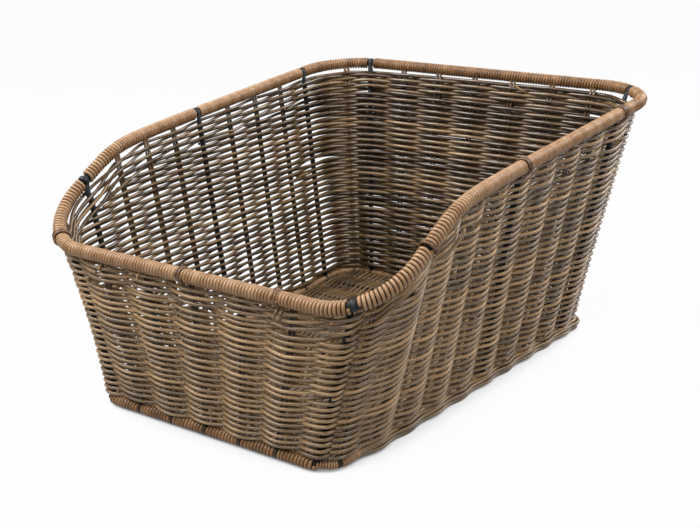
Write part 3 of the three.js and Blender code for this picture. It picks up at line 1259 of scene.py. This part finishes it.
@dataclass
class LooseEnds:
    """The few ends that stick out of the weave or hang below the rim."""

    frame: BasketFrame
    steps: int = 12
    swing: float = 0.62
    ends: tuple[LooseEnd, ...] = (
        LooseEnd(1.155, 1.23, 0.1475, 0.1665, -0.0072, 0.004),
        LooseEnd(1.165, 1.222, 0.1495, 0.1705, -0.0084, 0.003),
        LooseEnd(4.2, 4.165, 0.117, 0.1205, 0.0075, -0.003),
        LooseEnd(4.66, 4.62, 0.106, 0.1105, 0.0075, -0.002),
        LooseEnd(2.7, 2.76, 0.2085, 0.2125, 0.007, 0.002),
        LooseEnd(5.3, 5.37, 0.117, 0.1235, -0.0068, -0.003),
        LooseEnd(5.412, 5.407, 0.129, 0.1235, -0.0076, -0.001, 0.0008, 0.8),
        LooseEnd(5.68, 5.676, 0.129, 0.1245, -0.0076, -0.001, 0.0008, 0.8),
        LooseEnd(0.541, 0.538, 0.129, 0.1195, -0.0078, -0.001, 0.001, 0.42),
        LooseEnd(0.566, 0.57, 0.129, 0.1205, -0.0076, -0.001, 0.001, 0.36),
    )

    def route(self, end: LooseEnd) -> Strand:
        """Draws one end.

        Args:
            end: Where it lies.

        Returns:
            The strand from inside the wall to its free tip.
        """
        points = []
        for k in range(self.steps + 1):
            share = k / self.steps
            station = lerp(end.start, end.end, share)
            line = self.frame.line(Spot(station, station))
            height = lerp(end.start_height, end.end_height, share) + end.curl * share * share * share
            out = end.inward * math.sin(math.pi * self.swing * share)
            points.append(line.at(height) + line.inward(height) * out)
        return Strand.even(points, end.radius, end.tone)

    def build(self, finishes: Finishes) -> None:
        """Makes the ends as one piece."""
        strands = [self.route(end) for end in self.ends]
        make_tubes("loose_ends", strands, Roundness.EIGHT, finishes.weave)


# Stakes

@dataclass
class SteelStakes:
    """Black rods that climb the wall, step inward below the rim rod and hook over it, thinner there."""

    frame: BasketFrame
    foot_lift: float = 0.00125
    hook_rod: float = 0.0021
    hook_width: float = 2.15
    tied_hook_rod: float = 0.0018
    hook_drop: float = 0.013
    hook_turn: float = math.radians(225.0)
    hook_steps: int = 18
    step_count: int = 6
    leg_steps: int = 12
    tone: float = 0.5

    def hook_size(self, stake: str) -> float:
        """Returns how thick a stake's hook is, which is thinner under a tie."""
        return self.tied_hook_rod if stake in TIED_HOOKS else self.hook_rod

    def rod(self, stake: Stake) -> Strand:
        """Bends one stake.

        Args:
            stake: Which one.

        Returns:
            The rod from its foot on the base rod to the end of its hook.
        """
        line = self.frame.line(stake.spot)
        head = line.head
        hook = self.hook_size(stake.name)
        radius = self.frame.rim_rod / 2 + hook / 2
        low = self.frame.base_height + self.frame.base_rod / 2 + self.foot_lift
        high = head.centre.z - self.hook_drop
        below = line.at(high)
        points = [line.at(lerp(low, high, k / self.leg_steps)) for k in range(self.leg_steps)]
        start = head.centre + head.inward * radius
        points += [below.lerp(start, k / self.step_count) for k in range(self.step_count)]
        for k in range(self.hook_steps + 1):
            angle = self.hook_turn * k / self.hook_steps
            out = head.inward * math.cos(angle) + head.up * math.sin(angle)
            points.append(head.centre + out * radius)
        thin = hook / self.frame.steel_stake
        taper = [1.0] * self.leg_steps
        taper += [lerp(1.0, thin, k / self.step_count) for k in range(self.step_count)]
        taper += [thin] * (self.hook_steps + 1)
        radii = [self.frame.steel_stake / 2 * share for share in taper]
        return Strand(points, radii, [self.tone] * len(points))

    def flatten_hook(self, mesh: bpy.types.Mesh, head: Place, sides: int) -> None:
        """Widens a hook along the rim, ring by ring, so that it lies as low as the winding.

        Args:
            mesh: The rod's mesh.
            head: Where it hooks over the rim.
            sides: How many vertices a ring of the rod has.
        """
        turned = Matrix((head.tangent, head.inward, head.up)).to_4x4()
        space = turned @ Matrix.Translation(-head.centre)
        with edited(mesh) as shell:
            shell.verts.ensure_lookup_table()
            for k in range(self.step_count + self.hook_steps + 1):
                first = (self.leg_steps + k) * sides
                ring = shell.verts[first:first + sides]
                width = lerp(1.0, self.hook_width, min(1.0, k / self.step_count))
                bmesh.ops.scale(shell, vec=(width, 1.0, 1.0), space=space, verts=ring)

    def build(self, finishes: Finishes) -> None:
        """Makes one piece for each steel stake.

        Args:
            finishes: The basket's finishes.
        """
        roundness = Roundness.TWELVE
        for stake in self.frame.stakes_of(StakeKind.STEEL):
            rods = [self.rod(stake)]
            piece = make_tubes(f"rod_{stake.name}", rods, roundness, finishes.steel, (stake.node,))
            if stake.name not in TIED_HOOKS:
                self.flatten_hook(piece.data, self.frame.rim.place(stake.spot.rim), roundness.sides)


@dataclass
class WickerStakes:
    """Strands doubled into pairs of legs, bent over the base ring and held under the rim's winding."""

    frame: BasketFrame
    cane_radius: float = 0.00135
    pair_spacing: float = 0.0035
    ring_radius: float = 0.0046
    tones: Spread = (0.35, 0.65)
    bend_steps: int = 6
    leg_steps: int = 10
    seed: int = 5

    def leg(self, line: WallLine, low: float, beside: float) -> list[Vector]:
        """Draws one leg from the rim down.

        Args:
            line: The wall's line.
            low: The height where the leg ends.
            beside: How far beside the line it runs.

        Returns:
            The leg's points.
        """
        high = line.top.z - self.frame.rim_rod / 2
        points = []
        for k in range(self.leg_steps):
            share = k / self.leg_steps
            tangent = line.head.tangent.lerp(line.foot.tangent, share)
            points.append(line.at(lerp(high, low, share)) + tangent * beside)
        return points

    def route(self, stake: Stake) -> list[Vector]:
        """Draws a stake's two legs, joined by a bend over the base ring.

        Args:
            stake: Which one.

        Returns:
            The points from one leg's top to the other's.
        """
        line = self.frame.line(stake.spot)
        half = self.pair_spacing / 2
        low = self.frame.base_height + self.ring_radius + self.cane_radius + half
        centre = line.at(low)
        bend = []
        for k in range(self.bend_steps + 1):
            angle = math.pi * (1.0 + k / self.bend_steps)
            aside = line.foot.tangent * half * math.cos(angle)
            bend.append(centre + aside + UP * half * math.sin(angle))
        return self.leg(line, low, -half) + bend + self.leg(line, low, half)[::-1]

    def build(self, finishes: Finishes) -> None:
        """Makes one piece for each wicker stake.

        Args:
            finishes: The basket's finishes.
        """
        draw = random.Random(self.seed)
        for stake in self.frame.stakes_of(StakeKind.WICKER):
            cane = Strand.even(self.route(stake), self.cane_radius, draw.uniform(*self.tones))
            make_tubes(f"pair_{stake.name}", [cane], Roundness.EIGHT, finishes.stake, (stake.node,))


# Windings

@dataclass
class Winding:
    """One cane wound closely round a ring's rod."""

    ring: Ring
    rod: float
    cane_radius: float
    pitch: float
    turn_steps: int = 14
    slack: float = 0.0001
    unevenness: float = 0.00012
    tie_half: float = 0.0014
    tie_tone: float = -0.25
    drift: Drift = Drift(0.2, 0.37, 50.0)

    def strand(
        self, start: float, end: float, draw: random.Random, tone: float, ties: tuple[float, ...] = ()
    ) -> Strand:
        """Winds the cane between two distances along the ring.

        Args:
            start: Where the winding begins.
            end: Where it stops.
            draw: The source of its small irregularities.
            tone: How light the cane is.
            ties: Distances where dark turns hold a stake.

        Returns:
            The wound strand.
        """
        turns = max(1, round((end - start) / self.pitch))
        radius = self.rod / 2 + self.cane_radius + self.slack
        seed = draw.random() * self.drift.seeds
        points = []
        tones = []
        swell = [draw.uniform(-1.0, 1.0) * self.unevenness for _ in range(turns + 2)]
        for k in range(turns * self.turn_steps + 1):
            turn = k / self.turn_steps
            along = lerp(start, end, turn / turns)
            place = self.ring.place_at(along)
            angle = 2 * math.pi * turn
            out = place.inward * -math.cos(angle) + place.up * math.sin(angle)
            level = lerp(swell[int(turn)], swell[int(turn) + 1], turn % 1.0)
            points.append(place.centre + out * (radius + level))
            tied = any(abs(along - tie) < self.tie_half for tie in ties)
            tones.append(self.tie_tone if tied else tone + self.drift.at(seed, turn))
        return Strand(points, [self.cane_radius] * len(points), tones)


@dataclass
class RimBinding:
    """Windings on the rim rod between each two hooks, and ties over some hooks and on the front."""

    frame: BasketFrame
    steels: SteelStakes
    cane_radius: float = 0.00127
    pitch: float = 0.00285
    clearance: float = 0.0001
    plain_tone: float = 0.69
    tie_cane: float = 0.0012
    front_tie_turns: int = 2
    tie_tone: float = 0.28
    front_ties: tuple[float, ...] = (0.533, 5.963)
    seed: int = 3

    def margin(self, stake: str) -> float:
        """Returns how far from a hook's middle the winding stops."""
        width = 1.0 if stake in TIED_HOOKS else self.steels.hook_width
        return self.steels.hook_size(stake) * width / 2 + self.cane_radius + self.clearance

    def tie(self, station: float, over: float, turns: int, draw: random.Random) -> Strand:
        """Winds a short tie round the rim.

        Args:
            station: Where the tie lies.
            over: How thick what it goes round is.
            turns: How many turns it has.
            draw: The source of its small irregularities.

        Returns:
            The wound strand.
        """
        winding = Winding(self.frame.rim, over, self.tie_cane, 2 * self.tie_cane)
        middle = self.frame.rim.distance_at(station)
        half = turns * self.tie_cane
        return winding.strand(middle - half, middle + half, draw, self.tie_tone)

    def build(self, finishes: Finishes) -> None:
        """Makes one piece for each winding and one of the ties.

        Args:
            finishes: The basket's finishes.
        """
        draw = random.Random(self.seed)
        rim = self.frame.rim
        winding = Winding(rim, self.frame.rim_rod, self.cane_radius, self.pitch)
        for number, bay in enumerate(BAYS):
            after = BAYS[(number + 1) % len(BAYS)]
            start = rim.distance_at(bay.spot.rim) + self.margin(bay.steel)
            end = rim.distance_at(self.frame.bay_end(number).rim) - self.margin(after.steel)
            # bays round the rear take their painted-shade tone
            turns = winding.strand(start, end, draw, RIM_PAINTED_SHADE_TONES.get(bay.name, self.plain_tone))
            node = f"rim_binding_{bay.name}"
            make_tubes(f"winding_{bay.name}", [turns], Roundness.EIGHT, finishes.binding, (node,))
        hooked = self.frame.rim_rod + 2 * self.steels.tied_hook_rod
        held = [bay for bay in BAYS if bay.steel in TIED_HOOKS]
        ties = [self.tie(bay.spot.rim, hooked, TIED_HOOKS[bay.steel], draw) for bay in held]
        bound = self.frame.rim_rod + 4 * self.cane_radius - 2 * self.tie_cane
        ties += [self.tie(station, bound, self.front_tie_turns, draw) for station in self.front_ties]
        make_tubes("rim_ties", ties, Roundness.EIGHT, finishes.binding)


@dataclass
class BaseBinding:
    """The base ring's windings: the front one shows below the weave, the other inside the basket."""

    frame: BasketFrame
    front_cane: float = 0.00145
    front_pitch: float = 0.0031
    cane_radius: float = 0.0008
    pitch: float = 0.0018
    front_tone: float = 0.52
    rear_tone: float = 0.74
    turn_steps: int = 12
    rear_turn_steps: int = 10
    seed: int = 4

    def build(self, finishes: Finishes) -> None:
        """Makes the front winding and the one round the other three sides.

        Args:
            finishes: The basket's finishes.
        """
        draw = random.Random(self.seed)
        base = self.frame.base
        rod = self.frame.base_rod
        start = base.distance_at(BAYS[-1].spot.base)
        end = base.distance_at(BAYS[0].spot.base)
        feet = tuple(base.distance_at(stake.spot.base) for stake in self.frame.stakes)
        winding = Winding(base, rod, self.front_cane, self.front_pitch, self.turn_steps)
        front = winding.strand(start, end + base.length, draw, self.front_tone, feet)
        winding = Winding(base, rod, self.cane_radius, self.pitch, self.rear_turn_steps)
        rear = winding.strand(end, start, draw, self.rear_tone, feet)
        node = ("base_binding_front",)
        make_tubes("base_winding_front", [front], Roundness.EIGHT, finishes.binding, node)
        make_tubes("base_winding_rear", [rear], Roundness.SIX, finishes.binding)


# The floor

@dataclass
class WovenFloor:
    """Strands along the basket's length, woven over and under crosswise ribs and canes."""

    frame: BasketFrame
    cane_radius: float = 0.00128
    pitch: float = 0.0029
    sway: float = 0.0033
    spaces: int = 9
    rib_lines: tuple[int, ...] = (1, 4, 8)
    steps: int = 8
    edge: float = 0.0048
    dip: float = 0.45
    dip_reach: float = 0.02
    strand_tones: tuple[float, ...] = (0.22, 0.3, 0.36, 0.43, 0.54)
    crossing_tones: Spread = (0.3, 0.5)
    seed: int = 8

    def __post_init__(self) -> None:
        """Keeps the ends of the floor."""
        self.front = self.frame.base.front_y + self.edge
        self.rear = self.frame.base.rear_y - self.edge

    def half_width(self, y: float) -> float:
        """Measures the floor across.

        Args:
            y: A place along the length.

        Returns:
            Half the floor's width there.
        """
        base = self.frame.base
        share = (y - base.front_y) / (base.rear_y - base.front_y)
        return lerp(base.front_width, base.rear_width, share) / 2 - self.edge

    def corner_cut(self, x_share: float, y: float, corner: float) -> float:
        """Works out how much shorter a strand is at an end, where the ring's corner is round.

        Args:
            x_share: The strand's place as a share of the half width.
            y: The floor's end.
            corner: The ring's corner radius at that end.

        Returns:
            The length to leave off.
        """
        inner = corner - self.edge
        reach = max(0.0, inner - (1.0 - abs(x_share)) * self.half_width(y))
        return inner - math.sqrt(max(0.0, inner * inner - reach * reach))

    def strand(self, number: int, x_share: float, draw: random.Random) -> Strand:
        """Weaves one lengthwise strand, which sways less where it meets the ring.

        Args:
            number: The strand's number from the left.
            x_share: Its place as a share of the half width.
            draw: The source of its tone.

        Returns:
            The woven strand.
        """
        start = self.front + self.corner_cut(x_share, self.front, self.frame.base.front_corner)
        end = self.rear - self.corner_cut(x_share, self.rear, self.frame.base.rear_corner)
        count = self.spaces * self.steps
        grid = [lerp(self.front, self.rear, k / count) for k in range(count + 1)]
        points = []
        for y in [start] + [y for y in grid if start < y < end] + [end]:
            line = self.spaces * (y - self.front) / (self.rear - self.front)
            x = x_share * self.half_width(y)
            room = min(y - start, end - y, self.half_width(y) - abs(x))
            sway = self.sway * lerp(self.dip, 1.0, smoothstep(room, 0.0, self.dip_reach))
            z = self.frame.base_height + sway * math.cos(math.pi * (line + number))
            points.append(Vector((x, y, z)))
        return Strand.even(points, self.cane_radius, draw.choice(self.strand_tones))

    def crossing(self, line: int, draw: random.Random) -> Strand:
        """Lays one crosswise cane where no rib lies.

        Args:
            line: Which of the floor's crosswise lines it lies on.
            draw: The source of its tone.

        Returns:
            The straight strand.
        """
        y = lerp(self.front, self.rear, line / self.spaces)
        half = self.half_width(y)
        across = [lerp(-half, half, k / self.steps) for k in range(self.steps + 1)]
        points = [Vector((x, y, self.frame.base_height)) for x in across]
        return Strand.even(points, self.cane_radius, draw.uniform(*self.crossing_tones))

    def build(self, finishes: Finishes) -> None:
        """Makes the floor as one piece.

        Args:
            finishes: The basket's finishes.
        """
        draw = random.Random(self.seed)
        width = self.frame.base_rear_width - 2 * self.edge
        count = int(width / self.pitch)
        strands = [self.strand(k, 2 * k / (count - 1) - 1.0, draw) for k in range(count)]
        bare = [line for line in range(1, self.spaces) if line not in self.rib_lines]
        strands += [self.crossing(line, draw) for line in bare]
        make_tubes("floor_strands", strands, Roundness.SIX, finishes.weave, ("woven_floor",))


# Studio

@dataclass(frozen=True)
class Lamp:
    """A square soft lamp: where it hangs, how wide it is and its power in watts."""

    name: str
    place: tuple[float, float, float]
    size: float
    power: float


@dataclass
class Studio:
    """A white floor and surround, soft lamps and the camera."""

    camera_place: tuple[float, float, float] = (0.5338, -0.8058, 0.3981)
    camera_yaw: float = -0.59515
    camera_pitch: float = -0.31582
    lens: float = 58.967
    sensor: float = 36.0
    floor_half: float = 4.0
    floor_white: Colour = (0.3, 0.3, 0.3, 1.0)
    floor_roughness: float = 0.9
    floor_glow: float = 0.97
    # The painted shadow: the floor's glow follows ambient occlusion within this reach, from the deep
    # level to the open one
    shade_reach: float = 0.1
    shade_deep: float = 0.08
    shade_open: float = 0.5
    shade_floor: float = 0.15
    world_white: Colour = (1.0, 1.0, 1.0, 1.0)
    world_light: float = 0.15
    lamp_aim: tuple[float, float, float] = (0.0, 0.0, 0.1)
    lamps: tuple[Lamp, ...] = (
        Lamp("left_lamp", (-1.05, -0.55, 1.4), 1.1, 53.0),
        Lamp("back_lamp", (0.42, 1.5, 1.02), 1.1, 24.0),
        Lamp("right_lamp", (1.05, 0.15, 1.5), 0.9, 28.0),
        Lamp("front_lamp", (0.1, -1.3, 1.3), 0.9, 18.0),
    )

    def set_camera(self) -> None:
        """Stands the camera where the photograph was taken."""
        data = bpy.data.cameras.new("camera")
        data.sensor_fit = "HORIZONTAL"
        data.sensor_width = self.sensor
        data.lens = self.lens
        camera = add_object("camera", data)
        camera.location = self.camera_place
        camera.rotation_euler = (math.pi / 2 + self.camera_pitch, 0.0, -self.camera_yaw)
        bpy.context.scene.camera = camera

    def floor_material(self) -> Material:
        """Makes a pale floor that the camera sees as white, with a painted shadow where ambient
        occlusion dims its glow under and round the basket.

        Returns:
            The material.
        """
        material, graph, shader = new_material("floor_white")
        shader.inputs["Base Color"].default_value = self.floor_white
        shader.inputs["Roughness"].default_value = self.floor_roughness
        shader.inputs["Specular IOR Level"].default_value = 0.0
        # Painted shadow: ambient occlusion sets the strength of the floor's glow
        open_sky = graph.add("ShaderNodeAmbientOcclusion")
        open_sky.inputs["Distance"].default_value = self.shade_reach
        painted_shadow_strength = graph.add("ShaderNodeMapRange")
        painted_shadow_strength.inputs["From Min"].default_value = self.shade_deep
        painted_shadow_strength.inputs["From Max"].default_value = self.shade_open
        painted_shadow_strength.inputs["To Min"].default_value = self.shade_floor
        graph.join(open_sky.outputs["AO"], painted_shadow_strength.inputs["Value"])
        glow = graph.add("ShaderNodeEmission")
        graph.join(painted_shadow_strength.outputs["Result"], glow.inputs["Strength"])
        path = graph.add("ShaderNodeLightPath")
        seen = graph.maths("MAXIMUM", path.outputs["Is Camera Ray"], path.outputs["Is Glossy Ray"])
        seen = graph.maths("MAXIMUM", seen, path.outputs["Is Transmission Ray"])
        mix = graph.add("ShaderNodeMixShader")
        graph.join(graph.maths("MULTIPLY", seen, self.floor_glow), mix.inputs["Fac"])
        graph.join(shader.outputs["BSDF"], mix.inputs[1])
        graph.join(glow.outputs["Emission"], mix.inputs[2])
        graph.join(mix.outputs["Shader"], material.node_tree.nodes["Material Output"].inputs["Surface"])
        return material

    def lay_floor(self) -> None:
        """Lays the floor that the basket stands on."""
        mesh = bpy.data.meshes.new("studio_floor")
        with edited(mesh) as sheet:
            bmesh.ops.create_grid(sheet, x_segments=1, y_segments=1, size=self.floor_half)
        mesh.materials.append(self.floor_material())
        floor = add_object("studio_floor", mesh)

    def hang_lamp(self, lamp: Lamp) -> None:
        """Hangs one lamp that faces the basket.

        Args:
            lamp: Which one.
        """
        data = bpy.data.lights.new(lamp.name, "AREA")
        data.size = lamp.size
        data.energy = lamp.power
        hung = add_object(lamp.name, data)
        hung.location = lamp.place
        aim = Vector(self.lamp_aim) - Vector(lamp.place)
        hung.rotation_euler = aim.to_track_quat("-Z", "Y").to_euler()

    def light_world(self) -> None:
        """Surrounds the basket with an even white that is dimmer as a light."""
        world = bpy.data.worlds.new("studio")
        bpy.context.scene.world = world
        world.use_nodes = True
        graph = NodeGraph(world.node_tree)
        back = world.node_tree.nodes["Background"]
        path = graph.add("ShaderNodeLightPath")
        seen = graph.maths("MAXIMUM", path.outputs["Is Camera Ray"], path.outputs["Is Transmission Ray"])
        back.inputs["Color"].default_value = self.world_white
        graph.join(graph.spread(seen, self.world_light, 1.0), back.inputs["Strength"])

    def build(self) -> None:
        """Sets up everything round the basket."""
        self.set_camera()
        self.lay_floor()
        self.light_world()
        for lamp in self.lamps:
            self.hang_lamp(lamp)
        bpy.context.scene.view_settings.view_transform = "Standard"


def dress_rods(finishes: Finishes) -> None:
    """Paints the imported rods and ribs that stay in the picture.

    Args:
        finishes: The basket's finishes.
    """
    for name in ("rim_rod", "base_rod", "floor_rib_front", "floor_rib_middle", "floor_rib_rear"):
        materials = frame["nodes"][name].data.materials
        materials.clear()
        materials.append(finishes.steel.material)
        log.info("%s painted", name)


def main() -> None:
    """Builds the studio and every piece of the basket."""
    logging.basicConfig(level=logging.INFO, format="%(message)s")
    Studio().build()
    finishes = Finishes.mix()
    basket = BasketFrame()
    dress_rods(finishes)
    WovenWall(basket).build(finishes)
    LooseEnds(basket).build(finishes)
    steels = SteelStakes(basket)
    steels.build(finishes)
    WickerStakes(basket).build(finishes)
    RimBinding(basket, steels).build(finishes)
    BaseBinding(basket).build(finishes)
    WovenFloor(basket).build(finishes)


if __name__ == "__main__":
    main()
